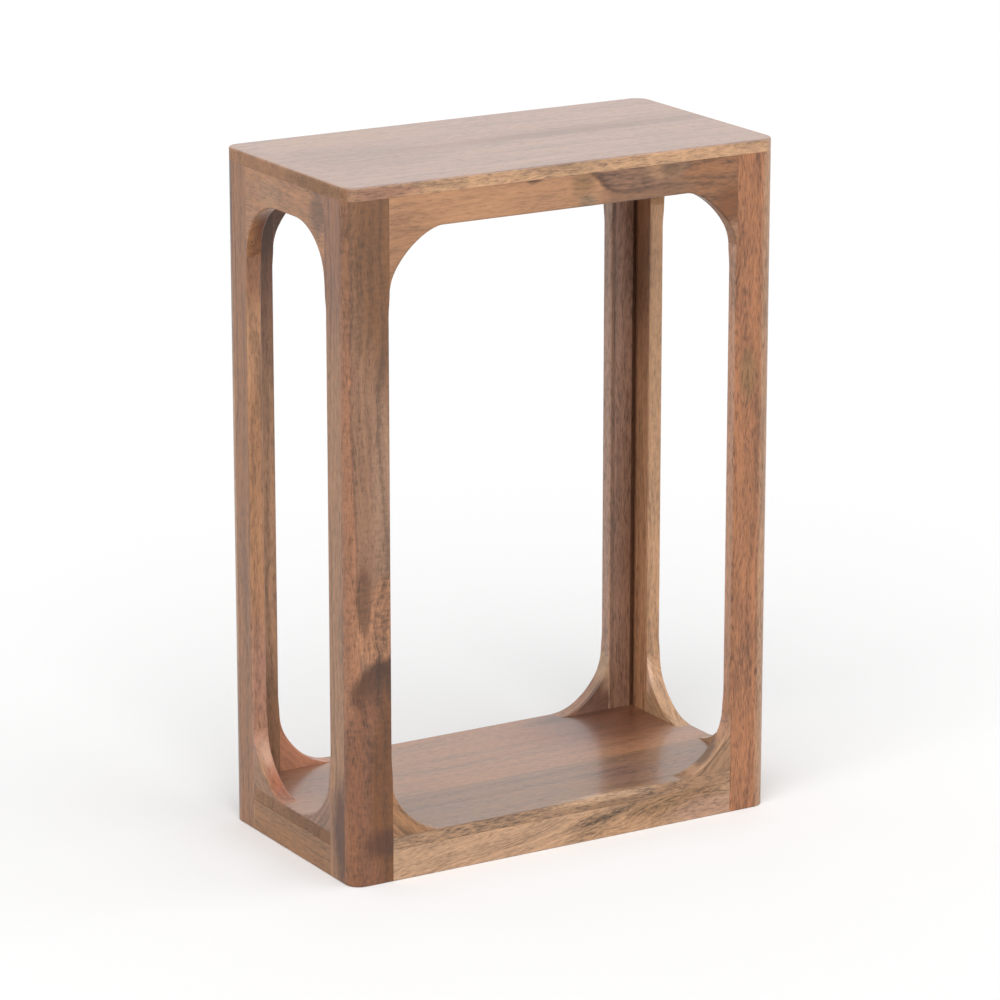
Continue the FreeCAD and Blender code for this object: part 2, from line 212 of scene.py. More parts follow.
def mango_wood(
    name,
    along,
    across,
    seed,
    colour,
    depth=0.4,
    ring=6.0,
    sway=14.0,
    figure=0.4,
    mottle=(10.0, 3.0),
    flecks=0.35,
    fibre=0.2,
    coat=0.3,
    stains_and_painted_light=(),
):
    """Mango sawn to a board, sanded and lacquered satin. Growth lines run along the board, sway, and close
    into eyes at the patches that swirl them; some patches are painted shade and painted light. They are
    strong in some places and faint in others, about figure. Pores are short dark flecks among fibres that are
    darker and lighter, by fibre. The colour wanders about its middle tone, with a mottle of the given length
    and width. End grain drinks the lacquer and stays dull. The seed says which stretch of the wood the board
    is cut from. Lengths are in mm."""
    material = bpy.data.materials.new(f"mango_{name}")
    material.use_nodes = True
    tree = material.node_tree
    tree.nodes.clear()
    place = add(tree, "TexCoord", {})["Object"]
    along, across = Vector(along).normalized(), Vector(across).normalized()
    turn = Matrix((along, across, along.cross(across))).to_euler()
    plank = {0: place, 1: NEXT_BOARD * seed, 2: turn, 3: (1 / MM,) * 3}
    plank = add(tree, "Mapping", plank)[0]

    noise = {}
    patterns = {
        "ragged": (RAGGED_GRAIN, 4, 0.62),
        "bend": (BENT_GRAIN, 2, 0.5),
        "wander": (WANDERING_COLOUR, 4, 0.65),
        "mottle": ((mottle[0], mottle[1], mottle[1]), 3, 0.65),
    }
    for pattern, (lengths, detail, roughness) in patterns.items():
        finer = {0: plank, 1: [1 / length for length in lengths]}
        finer = add(tree, "VectorMath", finer, operation="MULTIPLY")[0]
        finer = {"Vector": finer, "Scale": 1, "Detail": detail, "Roughness": roughness}
        noise[pattern] = add(tree, "TexNoise", finer)[0]
    growth = add(tree, "VectorMath", {0: plank, 1: GROWTH_WAY}, operation="DOT_PRODUCT")["Value"]
    for pattern, share in (("bend", BEND_SWAY), ("ragged", RAGGED_SWAY)):
        growth = {0: noise[pattern], 1: sway * share, 2: growth}
        growth = add(tree, "Math", growth, operation="MULTIPLY_ADD")[0]
    masks = []
    for stain_or_painted_light in stains_and_painted_light:
        spot = {0: place, 1: Vector(stain_or_painted_light.centre) * MM, 3: Vector(stain_or_painted_light.half) * MM}
        spot = add(tree, "Mapping", spot, vector_type="TEXTURE")[0]
        far = add(tree, "VectorMath", {0: spot}, operation="LENGTH")["Value"]
        far = {0: noise["ragged"], 1: stain_or_painted_light.fray, 2: far}
        far = add(tree, "Math", far, operation="MULTIPLY_ADD")[0]
        edge = 1 + stain_or_painted_light.fray * NOISE_MEAN
        mask = {0: far, 1: edge - stain_or_painted_light.soft, 2: edge + stain_or_painted_light.soft, 3: 1, 4: 0}
        masks.append(add(tree, "MapRange", mask, interpolation_type="SMOOTHSTEP")[0])
        eye = {0: far, 1: 0, 2: edge * EYE_REACH, 3: stain_or_painted_light.swirl, 4: 0}
        eye = add(tree, "MapRange", eye, interpolation_type="SMOOTHSTEP")[0]
        growth = add(tree, "Math", {0: growth, 1: eye}, operation="ADD")[0]

    lines = {"W": growth, "Scale": 1 / ring, "Detail": 5, "Roughness": 0.62}
    lines = add(tree, "TexNoise", lines, noise_dimensions="1D")[0]
    lines = add(tree, "Math", {0: lines, 1: NOISE_MEAN}, operation="SUBTRACT")[0]
    faint, bold = (share * figure for share in FIGURE_SHARE)
    strong = {0: noise["bend"], 1: FIGURE_NOISE[0], 2: FIGURE_NOISE[1], 3: faint, 4: bold}
    strong = add(tree, "MapRange", strong)[0]
    pore = add(tree, "SeparateXYZ", {0: plank})
    pore = add(tree, "CombineXYZ", {0: pore[0], 1: growth, 2: pore[2]})[0]
    pore = {0: pore, 1: [1 / length for length in PORE]}
    pore = add(tree, "VectorMath", pore, operation="MULTIPLY")[0]
    pore = add(tree, "TexNoise", {"Vector": pore, "Scale": 1, "Detail": 2})[0]
    # the mean of every share is taken off, so that the tone stays about its middle
    shares = ((noise["wander"], WANDER_SHARE), (noise["mottle"], MOTTLE_SHARE), (pore, -fibre))
    tone = MIDDLE_TONE - NOISE_MEAN * (WANDER_SHARE + MOTTLE_SHARE - fibre)
    for pattern, share in ((lines, strong), *shares):
        tone = add(tree, "Math", {0: pattern, 1: share, 2: tone}, operation="MULTIPLY_ADD")[0]
    colour = grained(tree, tone, colour, depth)
    for mask, stain_or_painted_light in zip(masks, stains_and_painted_light):
        blend = {0: mask, 6: colour, 7: grained(tree, tone, stain_or_painted_light.colour, stain_or_painted_light.depth)}
        colour = add(tree, "Mix", blend, data_type="RGBA")[2]

    pore = {0: pore, 1: PORE_NOISE[0], 2: PORE_NOISE[1], 3: 0, 4: flecks}
    pore = add(tree, "MapRange", pore, interpolation_type="SMOOTHSTEP")[0]
    dark = {0: pore, 6: colour, 7: linear(PORE_COLOUR)}
    colour = add(tree, "Mix", dark, data_type="RGBA", blend_type="MULTIPLY")[2]
    relief = add(tree, "Math", {0: pore, 1: -1.0, 2: lines}, operation="MULTIPLY_ADD")[0]
    relief = add(tree, "Bump", {"Height": relief, "Strength": 0.2, "Distance": 0.15 * MM})[0]
    gloss = {0: noise["wander"], 1: SATIN_NOISE[0], 2: SATIN_NOISE[1], 3: SATIN[0], 4: SATIN[1]}
    gloss = add(tree, "MapRange", gloss)[0]
    end = {0: add(tree, "NewGeometry", {})["Normal"], 1: along}
    end = add(tree, "VectorMath", end, operation="DOT_PRODUCT")["Value"]
    end = add(tree, "Math", {0: end}, operation="ABSOLUTE")[0]
    cut = {0: end, 1: END_GRAIN[0], 2: END_GRAIN[1]}
    film = add(tree, "MapRange", {**cut, 3: coat, 4: 0})[0]
    shine = add(tree, "MapRange", {**cut, 3: END_GRAIN_SHINE[0], 4: END_GRAIN_SHINE[1]})[0]
    lacquer = {
        "Base Color": colour,
        "Roughness": gloss,
        "IOR": 1.5,
        "Normal": relief,
        "Specular IOR Level": shine,
        "Coat Weight": film,
        "Coat Roughness": 0.2,
        "Coat IOR": 1.5,
    }
    surface = add(tree, "BsdfPrincipled", lacquer)[0]
    add(tree, "OutputMaterial", {"Surface": surface})
    return material


def fit_board(node, rings, wood):
    """Makes the finished board that stands for a node, in its wood, riding on the table."""
    piece = skin(f"finished_{node}", rings)
    piece.data.materials.append(wood)
    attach(piece, "root")
    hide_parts(node)


# the outer faces in mm, and a half size beyond every board's length
FRONT, LEFT, RIGHT = -115, -225, 225
WHOLE = 900
LEG_SEED = 1
LEG_WOODS = {
    "front_left_leg_face": dict(
        colour="#a47152",
        mottle=(4.0, 7.0),
        fibre=0.3,
        stains_and_painted_light=[
            StainOrPaintedLight((-172, FRONT, 560), (49.8, 200, 700), "#7a5540", soft=0.02, fray=0.15),
            StainOrPaintedLight((-172, FRONT, 560), (48.5, 200, 700), "#926b51", soft=0.03, fray=0.15),
            StainOrPaintedLight((-192, FRONT, 370), (9, 200, 85), "#a27c62", soft=0.6, fray=0.6),
            StainOrPaintedLight((-182, FRONT, 610), (40, 200, 140), "#7a5131", soft=0.35, fray=0.4),
            StainOrPaintedLight((-182, FRONT, 245), (38, 25, 45), "#a67554", soft=0.12, fray=0.35, swirl=16, depth=0.7),
            StainOrPaintedLight((-211, FRONT, 272), (7, 25, 33), "#7c543a", soft=0.25, fray=0.5, depth=0.5),
            StainOrPaintedLight((-206, FRONT, 150), (13, 25, 32), "#7a4f36", soft=0.35, fray=0.6),
            StainOrPaintedLight((-186, FRONT, 183), (36, 25, 31), "#523017", soft=0.15, fray=0.35, swirl=9),
            StainOrPaintedLight((-190, FRONT, 40), (60, 200, 140), "#815338", soft=0.2, fray=0.4, depth=0.5),
            StainOrPaintedLight((-180, FRONT, 85), (26, 200, 100), "#70431f", soft=0.25, fray=0.4),
            StainOrPaintedLight((-188, FRONT, 38), (20, 200, 13), "#522c12", soft=0.5, fray=0.9),
            StainOrPaintedLight((-226, -108, 28), (7, 20, 46), "#96613f", soft=0.5, fray=0.6),
        ],
    ),
    "front_right_leg_face": dict(
        colour="#a56d49",
        depth=0.5,
        flecks=0.6,
        fibre=0.35,
        stains_and_painted_light=[
            StainOrPaintedLight((222, FRONT, 320), (11, 30, WHOLE), "#b68a69", fray=0.3),
            StainOrPaintedLight((197, FRONT, 425), (9, 30, 22), "#9c7048", soft=0.5, fray=0.6),
            # the narrow face lighter: partly the wood's tone and partly painted light
            StainOrPaintedLight((183, -106, 300), (1.5, 7.5, WHOLE), "#c49273", fray=0.1),
        ],
    ),
    "back_left_leg_face": dict(
        colour="#b98c6a",
        stains_and_painted_light=[
            # painted shade: the upper part darker under the top, and a darker band under the back apron's ear
            StainOrPaintedLight((-190, 100, 650), (60, 60, 190), "#835c46", soft=0.5),
            StainOrPaintedLight((-195, 100, 590), (60, 6, 52), "#64432f", soft=0.5),
            StainOrPaintedLight((-195, 100, 75), (60, 60, 80), "#8f684b", soft=0.5),
        ],
    ),
    "back_right_leg_face": dict(
        colour="#8e6954",
        flecks=0.5,
        fibre=0.4,
        stains_and_painted_light=[
            # painted light: the upper part lighter, against the shade under the top
            StainOrPaintedLight((195, 100, 560), (60, 60, 240), "#a57f6a", soft=0.5),
            StainOrPaintedLight((195, 100, 650), (60, 60, 120), "#b88e76", soft=0.5),
            # painted shade: a dark strip in the inside corner
            StainOrPaintedLight((210, 100, 230), (3, 3, 600), "#5a3924", soft=0.2, fray=0.15),
            # the narrow face lighter: partly the wood's tone and partly painted light
            StainOrPaintedLight((183, 107, 300), (1.5, 60, WHOLE), "#b8917a", fray=0.1),
            # painted shade: the rounded arris by the narrow face darker
            StainOrPaintedLight((186, 100, 300), (2.2, 1.5, WHOLE), "#7f5d48", soft=0.5, fray=0.3),
        ],
    ),
    "front_left_leg_return": dict(
        colour="#a87a57",
        stains_and_painted_light=[
            StainOrPaintedLight((LEFT, -87, 620), (60, 60, 110), "#99684a", soft=0.4),
            StainOrPaintedLight((LEFT, -96, 48), (40, 17, 48), "#5a3014", soft=0.5, fray=0.9),
        ],
    ),
    "front_right_leg_return": dict(colour="#bc9071"),
    "back_left_leg_return": dict(
        colour="#9c6b48",
        stains_and_painted_light=[
            # the narrow face lighter, varying with height: partly the wood's tone and partly painted light
            StainOrPaintedLight((-217, 73, 300), (60, 2, WHOLE), "#b5825c", fray=0.1),
            StainOrPaintedLight((-217, 73, 470), (60, 2, 40), "#c18f6a", soft=0.5),
            StainOrPaintedLight((-217, 73, 555), (60, 2, 45), "#9a6b4d", soft=0.4),
            StainOrPaintedLight((-217, 73, 110), (60, 2, 90), "#b4836a", soft=0.4),
        ],
    ),
    "back_right_leg_return": dict(
        colour="#b3835f",
        stains_and_painted_light=[
            # painted shade: the upper part darker under the top
            StainOrPaintedLight((217, 87, 620), (60, 60, 210), "#835a3e", soft=0.4),
            StainOrPaintedLight((217, 87, 650), (60, 60, 120), "#a3714f", soft=0.5),
            # painted shade: darker towards the inside corner
            StainOrPaintedLight((210, 101, 230), (3, 5, 600), "#5a3a26", soft=0.7, fray=0.1),
            # the narrow face lighter: partly the wood's tone and partly painted light
            StainOrPaintedLight((217, 73, 300), (60, 1.5, WHOLE), "#c79a74", fray=0.1),
        ],
    ),
}
for seed, (node, look) in enumerate(LEG_WOODS.items(), start=LEG_SEED):
    towards_x = 1 if "right" in node else -1
    towards_y = 1 if "back" in node else -1
    if node.endswith("face"):
        low, high = (LEG_EDGE_X, LEG_SEAM_Y), (HALF_WIDTH, HALF_DEPTH)
        arrises = [None, HAIRLINE, LEG_CORNER, None]
        across = (1, 0, 0)
    else:
        low, high = (LEG_INNER_X, LEG_EDGE_Y), (HALF_WIDTH, LEG_SEAM_Y)
        arrises = [None, None, HAIRLINE, SEAM_ARRIS]
        across = (0, 1, 0)
    order = towards_x * towards_y
    corners = np.array([low, (high[0], low[1]), high, (low[0], high[1])])
    corners = (corners * (towards_x, towards_y))[::order]
    wood = mango_wood(node, (0, 0, 1), across, seed=seed, **look)
    fit_board(node, leg_rings(corners, arrises[::order]), wood)

# Rails
# Four plain mango boards between the legs at the floor, tenoned into them. Their ends butt tight, and the
# lower arrises are broken with a block plane.
BOARD = HALF_DEPTH - LEG_SEAM_Y
SNUG_EASE = 3 * HAIRLINE
IN_LINE = 1 - 1e-6
RAIL_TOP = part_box("front_rail")[1].z
# turn about the upright, half the opening between the legs, and the outer face's distance from the middle
SIDES = {
    "front": (0, LEG_EDGE_X, HALF_DEPTH),
    "right": (90, LEG_EDGE_Y, HALF_WIDTH),
    "back": (180, LEG_EDGE_X, HALF_DEPTH),
    "left": (270, LEG_EDGE_Y, HALF_WIDTH),
}


def eased_slab(outline, ease, low, high, low_share=1.0):
    """A board of the outline's shape from low to high, as rings. Edge k of the outline, from point k to the
    next, is drawn in by ease[k] (1 - sin a) at both faces while the height grows by depth (1 - cos a), where
    depth is the largest ease. A corner moves to where its two drawn-in edges meet. At the low face only
    low_share of the ease is drawn in."""
    outline, ease = np.asarray(outline), np.asarray(ease)
    edge = np.roll(outline, -1, axis=0) - outline
    edge = edge / np.linalg.norm(edge, axis=1, keepdims=True)
    inward = np.stack([-edge[:, 1], edge[:, 0]], axis=1)
    before, ease_before = np.roll(inward, 1, axis=0), np.roll(ease, 1)
    cosine = (inward * before).sum(axis=1)
    straight = cosine > IN_LINE
    spread = np.where(straight, 1, 1 - cosine**2)
    share_before = np.where(straight, 0, (ease_before - ease * cosine) / spread)
    share = np.where(straight, ease, (ease - ease_before * cosine) / spread)
    draw = share_before[:, None] * before + share[:, None] * inward
    inset = 1 - np.sin(QUARTER)
    inset = np.concatenate([low_share * inset, inset[::-1]])
    rise = ease.max() * (1 - np.cos(QUARTER))
    height = np.concatenate([low + rise, high - rise[::-1]])
    flat = outline + inset[:, None, None] * draw
    return np.concatenate([flat, np.broadcast_to(height[:, None, None], (*flat.shape[:2], 1))], axis=-1)


def stand_on_side(rings, turn):
    """Turns rings of (along the side, up, outward) to the table's (x, y, z). With the turn t, x and y are
    along (cos t, sin t) + outward (sin t, -cos t), and z is up."""
    angle = math.radians(turn)
    along, out = (math.cos(angle), math.sin(angle)), (math.sin(angle), -math.cos(angle))
    level = rings[..., 0:1] * along + rings[..., 2:3] * out
    return np.concatenate([level, rings[..., 1:2]], axis=-1)


def side_grain(turn, slope=0.0):
    """Directions along and across a grain that climbs a side at a slope, in degrees, to its right: level cos
    + up sin of the slope, and up cos - level sin."""
    angle, climb = math.radians(turn), math.radians(slope)
    level = np.array([math.cos(angle), math.sin(angle), 0])
    up = np.array([0, 0, 1])
    return level * math.cos(climb) + up * math.sin(climb), up * math.cos(climb) - level * math.sin(climb)


RAIL_SEED = 21
RAIL_WOODS = {
    "front": dict(
        colour="#c29a79",
        depth=0.42,
        slope=10,
        ring=4.0,
        sway=20.0,
        figure=0.3,
        mottle=(7.0, 2.0),
        stains_and_painted_light=[
            StainOrPaintedLight((60, FRONT, 12), (60, 60, 16), "#b38b68", soft=0.5, fray=0.9, swirl=8, depth=0.85),
            StainOrPaintedLight((125, FRONT, 22), (60, 60, 14), "#9c7653", soft=0.5, fray=0.9, swirl=-8, depth=0.9),
            StainOrPaintedLight((165, FRONT, 8), (45, 60, 12), "#b48c72", soft=0.5, fray=0.8, depth=0.5),
        ],
    ),
    "right": dict(colour="#b88f6e"),
    "back": dict(colour="#ba9273"),
    "left": dict(colour="#9c6d44", fibre=0.3),
}
for seed, (side, look) in enumerate(RAIL_WOODS.items(), start=RAIL_SEED):
    turn, half, reach = SIDES[side]
    outline = [(-half, 0), (half, 0), (half, RAIL_TOP), (-half, RAIL_TOP)]
    ease = [FOOT_EASE, HAIRLINE, SNUG_EASE, HAIRLINE]
    rings = stand_on_side(eased_slab(outline, ease, reach - BOARD, reach), turn)
    node = f"{side}_rail"
    grain = side_grain(turn, look.pop("slope", 0))
    fit_board(node, rings, mango_wood(node, *grain, seed=seed, **look))

# Aprons
# Four mango boards under the top, tenoned into the legs, each sawn from one wide plank so that an arched ear
# runs down each leg. The arch is drum-sanded, its arrises are softened, and the ears' tips are feathered.
LONG_ARCH = dict(reach=54 * MM, power=1.55)
END_ARCH = dict(reach=55 * MM, power=2.0)
ARCH_STEPS = 25
ARCH_ARRIS = 1.8 * MM
FEATHER_SHARE = 0.4


def hollow(reach, power):
    """Curve of an arch across a square corner, as distances from the leg and from the level edge: a quarter
    superellipse, reach (1 - cos(a)^(2/power)) and reach (1 - sin(a)^(2/power)), a from 0 to 90."""
    angle = np.linspace(0, math.pi / 2, ARCH_STEPS)
    return reach * (1 - np.abs([np.cos(angle), np.sin(angle)]).T ** (2 / power))


def feathered(thick):
    """Ease of each edge along an arch: the soft arris, or a share of the thickness there if that is less."""
    return np.minimum(ARCH_ARRIS, FEATHER_SHARE * np.minimum(thick[1:], thick[:-1]))


APRON_SEED = 31
APRON_WOODS = {
    "front": dict(
        colour="#bb8963",
        depth=0.25,
        sway=18.0,
        figure=0.2,
        flecks=0.2,
        stains_and_painted_light=[
            StainOrPaintedLight((-172, FRONT, 575), (36, 60, 40), "#a97a58", soft=0.5),
            StainOrPaintedLight((165, FRONT, 600), (70, 60, 60), "#8d5f3e", swirl=14, depth=0.75),
            StainOrPaintedLight((178, FRONT, 586), (20, 9, 20), "#7b4a26", soft=0.5),
            StainOrPaintedLight((180, -112, 556), (14, 14, 16), "#a87b5c", soft=0.5),
            StainOrPaintedLight((176, -105, 572), (16, 7, 34), "#b3876a", soft=0.4),
            StainOrPaintedLight((85, FRONT, 609), (48, 60, 14), "#8f674b", fray=0.6),
            StainOrPaintedLight((75, FRONT, 640), (52, 60, 30), "#5f3d28", soft=0.06, fray=0.3, swirl=18, depth=0.5),
            StainOrPaintedLight((81, FRONT, 641), (53, 60, 30), "#86614a", soft=0.1, fray=0.3, depth=0.8),
            StainOrPaintedLight((103, FRONT, 630), (17, 60, 10), "#ac8260", soft=0.5, fray=0.8),
            StainOrPaintedLight((111, FRONT, 627), (11, 60, 6), "#7c5c42", soft=0.5, fray=0.7),
            StainOrPaintedLight((17, FRONT, 624), (12, 60, 9), "#9a724e", soft=0.5, fray=0.9, swirl=6),
            StainOrPaintedLight((22, FRONT, 608), (9, 60, 6), "#a07d5e", soft=0.5, fray=0.9),
            StainOrPaintedLight((-35, FRONT, 634), (8, 30, 4), "#6a4630", soft=0.5),
        ],
    ),
    "right": dict(
        colour="#a88165",
        # painted light: lighter where the ear meets the leg's narrow face, against the shade there
        stains_and_painted_light=[StainOrPaintedLight((217, 73, 552), (14, 10, 16), "#bd916c", soft=0.7)],
    ),
    "back": dict(
        colour="#a88063",
        # painted shade: the ear's inside darker under the top
        stains_and_painted_light=[StainOrPaintedLight((-172, 100, 585), (14, 4, 36), "#75523e", soft=0.6)],
    ),
    "left": dict(
        colour="#b07c56",
        figure=0.25,
        fibre=0.3,
        stains_and_painted_light=[
            StainOrPaintedLight((LEFT, -61, 614), (60, 13, 17), "#7f583c", soft=0.5, fray=0.7, swirl=4),
            StainOrPaintedLight((LEFT, 30, 615), (60, 20, 12), "#b68661", soft=0.5, fray=0.7, swirl=4),
            StainOrPaintedLight((-212, 60, 578), (7, 20, 32), "#8a5d44", soft=0.5),
            StainOrPaintedLight((-216, 73, 545), (7, 12, 20), "#9a6b4d", soft=0.5),
        ],
    ),
}
for seed, (side, look) in enumerate(APRON_WOODS.items(), start=APRON_SEED):
    turn, half, reach = SIDES[side]
    arch = hollow(**(END_ARCH if side in ("left", "right") else LONG_ARCH))
    left_ear = (-half, APRON_UNDERSIDE) + arch * (1, -1)
    right_ear = left_ear[::-1] * (-1, 1)
    outline = np.concatenate([[(-half, LEG_TOP)], left_ear, right_ear, [(half, LEG_TOP)]])
    feather = feathered(arch[:, 0])
    ease = np.concatenate([[0], feather, [ARCH_ARRIS], feather[::-1], [0, SNUG_EASE]])
    rings = stand_on_side(eased_slab(outline, ease, reach - BOARD, reach), turn)
    node = f"{side}_apron"
    fit_board(node, rings, mango_wood(node, *side_grain(turn), seed=seed, **look))

# Shelf
# Two edge-glued mango boards on the rails, notched round the legs so that the shelf's edge shows between
# them on every side. Beech pegs hold it to the rails from below.
NOTCH_GAP = 0.2 * MM
SHELF_EASE = 0.6 * MM
SHELF_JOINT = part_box("shelf_front_board")[1].y
SHELF_SEED = 41
# middle height of the shelf's edge below its round, in mm
SHELF_RIM = 35.4
SHELF_STAINS_AND_PAINTED_SHADE = [
    # painted reflection and shade: darker near the back right leg and brackets, where the satin shelf mirrors
    # the dark leg
    StainOrPaintedLight((140, 60, 42), (80, 50, 30), "#8c5b40", soft=0.6, depth=0.3),
    StainOrPaintedLight((165, 62, 42), (58, 46, 30), "#6f4530", soft=0.6, depth=0.3),
    # painted shadow: a dark strip at the back bracket's foot
    StainOrPaintedLight((150, 98, 42), (50, 12, 30), "#5a341f", soft=0.7, depth=0.3),
    # painted shadow: darker near the back left leg
    StainOrPaintedLight((-175, 60, 42), (55, 50, 30), "#8a624c", soft=0.7, depth=0.3),
    StainOrPaintedLight((100, -68, 42), (40, 30, 30), "#7d5a48", soft=0.7, fray=0.9, depth=0.5),
    StainOrPaintedLight((0, 0, SHELF_RIM), (WHOLE, WHOLE, 6), "#a47e5d", soft=0.05, fray=0, depth=0.68),
    StainOrPaintedLight((45, FRONT, 40), (55, 8, 3), "#bc9674", soft=0.6, fray=0.9, depth=0.6),
    StainOrPaintedLight((65, FRONT, 33), (55, 8, 3), "#8a6647", soft=0.6, fray=0.9, depth=0.6),
    StainOrPaintedLight((150, FRONT, 36), (50, 12, 6), "#8f6a4a", soft=0.5, fray=0.9, depth=0.8),
    StainOrPaintedLight((LEFT, 0, SHELF_RIM), (1.5, WHOLE, 30), "#8b6449", fray=0),
    StainOrPaintedLight((LEFT, 70, SHELF_RIM), (1.5, 60, 30), "#9c7355", soft=0.6, fray=0.3),
    StainOrPaintedLight((RIGHT, 0, SHELF_RIM), (1.5, WHOLE, 30), "#9a7053", fray=0),
]
SHELF_LOOK = dict(depth=0.3, ring=9.0, figure=0.25, fibre=0.4, coat=0.75, stains_and_painted_light=SHELF_STAINS_AND_PAINTED_SHADE)
SHELF_COLOURS = {"front": "#886246", "back": "#a37352"}
for seed, (end, colour) in enumerate(SHELF_COLOURS.items(), start=SHELF_SEED):
    hand = 1 if end == "back" else -1
    tongue, inner = LEG_EDGE_X - NOTCH_GAP, LEG_INNER_X - NOTCH_GAP
    behind_face, behind_leg = LEG_SEAM_Y - NOTCH_GAP, LEG_EDGE_Y - NOTCH_GAP
    right = [(tongue, HALF_DEPTH), (tongue, behind_face), (inner, behind_face), (inner, behind_leg)]
    right += [(HALF_WIDTH, behind_leg), (HALF_WIDTH, SHELF_JOINT * hand)]
    right = np.array(right) * (1, hand)
    outline = np.concatenate([right, right[::-1] * (-1, 1)])
    notched_end = [HAIRLINE] * 4 + [SHELF_EASE]
    ease = np.array([*notched_end, HAIRLINE, *notched_end[::-1], SHELF_EASE])
    if hand > 0:
        outline, ease = outline[::-1], np.roll(ease[::-1], -1)
    node = f"shelf_{end}_board"
    wood = mango_wood(node, (1, 0, 0), (0, 1, 0), seed=seed, colour=colour, **SHELF_LOOK)
    fit_board(node, eased_slab(outline, ease, RAIL_TOP, SHELF_TOP), wood)

# Brackets
# Eight hollowed mango blocks, glued on the shelf and against the legs to answer the ears above. Their grain
# runs from leg to shelf, and the hollow of the front left one is smaller.
FULL_ARCH = dict(reach=ARCH_REACH, power=1.7)
SMALL_ARCH = dict(reach=48 * MM, power=1.5)
BRACKET_SLOPE = 45
BRACKET_RING = 5.0
BRACKET_SEED = 51
BRACKET_WOODS = {
    "front_bracket_left": dict(colour="#a3754f", depth=0.5, figure=0.6, arch=SMALL_ARCH),
    "front_bracket_right": dict(
        colour="#9c7657",
        depth=0.45,
        figure=0.7,
        stains_and_painted_light=[StainOrPaintedLight((183, -107, 98), (12, 14, 24), "#bc8b6c", soft=0.6)],
    ),
    "right_bracket_front": dict(colour="#b18c6d"),
    "right_bracket_back": dict(
        colour="#bd9470",
        stains_and_painted_light=[
            StainOrPaintedLight((217, 73, 98), (14, 12, 24), "#c79a74", soft=0.6, depth=0.25),
            # painted highlight along the upper arris of the hollow
            StainOrPaintedLight((211, 72, 82), (3, 10, 22), "#deb698", soft=0.5, depth=0.25),
        ],
    ),
    "back_bracket_right": dict(
        colour="#a37b63",
        stains_and_painted_light=[
            # painted shade: the inner face darker
            StainOrPaintedLight((200, 100, 70), (60, 3, 60), "#6b4a3a", soft=0.4, fray=0.2),
            StainOrPaintedLight((183, 107, 90), (12, 14, 26), "#bf9c7d", soft=0.6, depth=0.25),
        ],
    ),
    "back_bracket_left": dict(colour="#bd8264", depth=0.3),
    "left_bracket_back": dict(
        colour="#a56f53",
        stains_and_painted_light=[
            StainOrPaintedLight((LEFT, 87, 65), (4, 60, 60), "#a27654", soft=0.4, fray=0.2),
            StainOrPaintedLight((-217, 73, 94), (14, 14, 26), "#b4836a", soft=0.5, depth=0.25),
            StainOrPaintedLight((-216, 66, 76), (6, 12, 12), "#be9278", soft=0.6, depth=0.25),
            StainOrPaintedLight((-216, 40, 50), (7, 18, 14), "#9f6248", soft=0.6),
        ],
    ),
    "left_bracket_front": dict(colour="#97705a"),
}
RIGHT_HAND = ("front_bracket_right", "right_bracket_back", "back_bracket_left", "left_bracket_front")
for seed, (node, look) in enumerate(BRACKET_WOODS.items(), start=BRACKET_SEED):
    turn, half, reach = SIDES[node.split("_")[0]]
    arch = hollow(**look.pop("arch", FULL_ARCH))
    curve = (half, SHELF_TOP) + arch * (-1, 1)
    outline = np.concatenate([curve, [(half, SHELF_TOP)]])
    ease = np.concatenate([feathered(arch.min(axis=1)), [0, 0]])
    slope = BRACKET_SLOPE
    if node not in RIGHT_HAND:
        outline, ease = outline[::-1] * (-1, 1), np.roll(ease[::-1], -1)
        slope = -BRACKET_SLOPE
    rings = stand_on_side(eased_slab(outline, ease, reach - BOARD, reach), turn)
    wood = mango_wood(node, *side_grain(turn, slope), seed=seed, ring=BRACKET_RING, **look)
    fit_board(node, rings, wood)

# Top
# Two edge-glued mango boards, flush with the legs, with the same round corners and a softened rim. Beech pegs
# hold it to the aprons from below.
TOP_EASE = 1.6 * MM
UNDERSIDE_SHARE = 0.08
TOP_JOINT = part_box("top_front_board")[1].y
TABLE_TOP = cad_high.z
TOP_SEED = 61
# middle height of the top's edge below its round, in mm
TOP_RIM = 638.2
TOP_STAINS = [
    StainOrPaintedLight((-150, 10, 645), (75, 50, 30), "#a07f70", soft=0.5, fray=0.6, depth=0.25),
    StainOrPaintedLight((-120, 92, 645), (75, 28, 30), "#ae8a74", soft=0.6, fray=0.6, depth=0.25),
    StainOrPaintedLight((75, 9, 645), (150, 14, 30), "#927060", soft=0.7, fray=0.6, depth=0.25),
    StainOrPaintedLight((0, 0, TOP_RIM), (WHOLE, WHOLE, 5.9), "#c89b74", soft=0.06, fray=0, depth=0.6),
    StainOrPaintedLight((-195, FRONT, TOP_RIM), (48, 14, 5.9), "#a3755a", soft=0.4, fray=0.8, depth=0.6),
    StainOrPaintedLight((LEFT, 0, TOP_RIM), (9, WHOLE, 6.4), "#ae8161", soft=0.5, fray=0.3, depth=0.3),
    StainOrPaintedLight((LEFT, -62, TOP_RIM), (7, 52, 6.4), "#987050", soft=0.5, fray=0.5, depth=0.3),
    StainOrPaintedLight((RIGHT, 0, TOP_RIM), (9, WHOLE, 6.4), "#ae8161", soft=0.5, fray=0.3, depth=0.3),
]
TOP_LOOK = dict(colour="#aa8877", depth=0.28, ring=8.0, figure=0.25, coat=0.6, stains_and_painted_light=TOP_STAINS)
square = np.array([(-1, -1), (1, -1), (1, 1), (-1, 1)]) * (HALF_WIDTH, HALF_DEPTH)
rim_points = rounded_outline(square, np.full(4, LEG_CORNER))
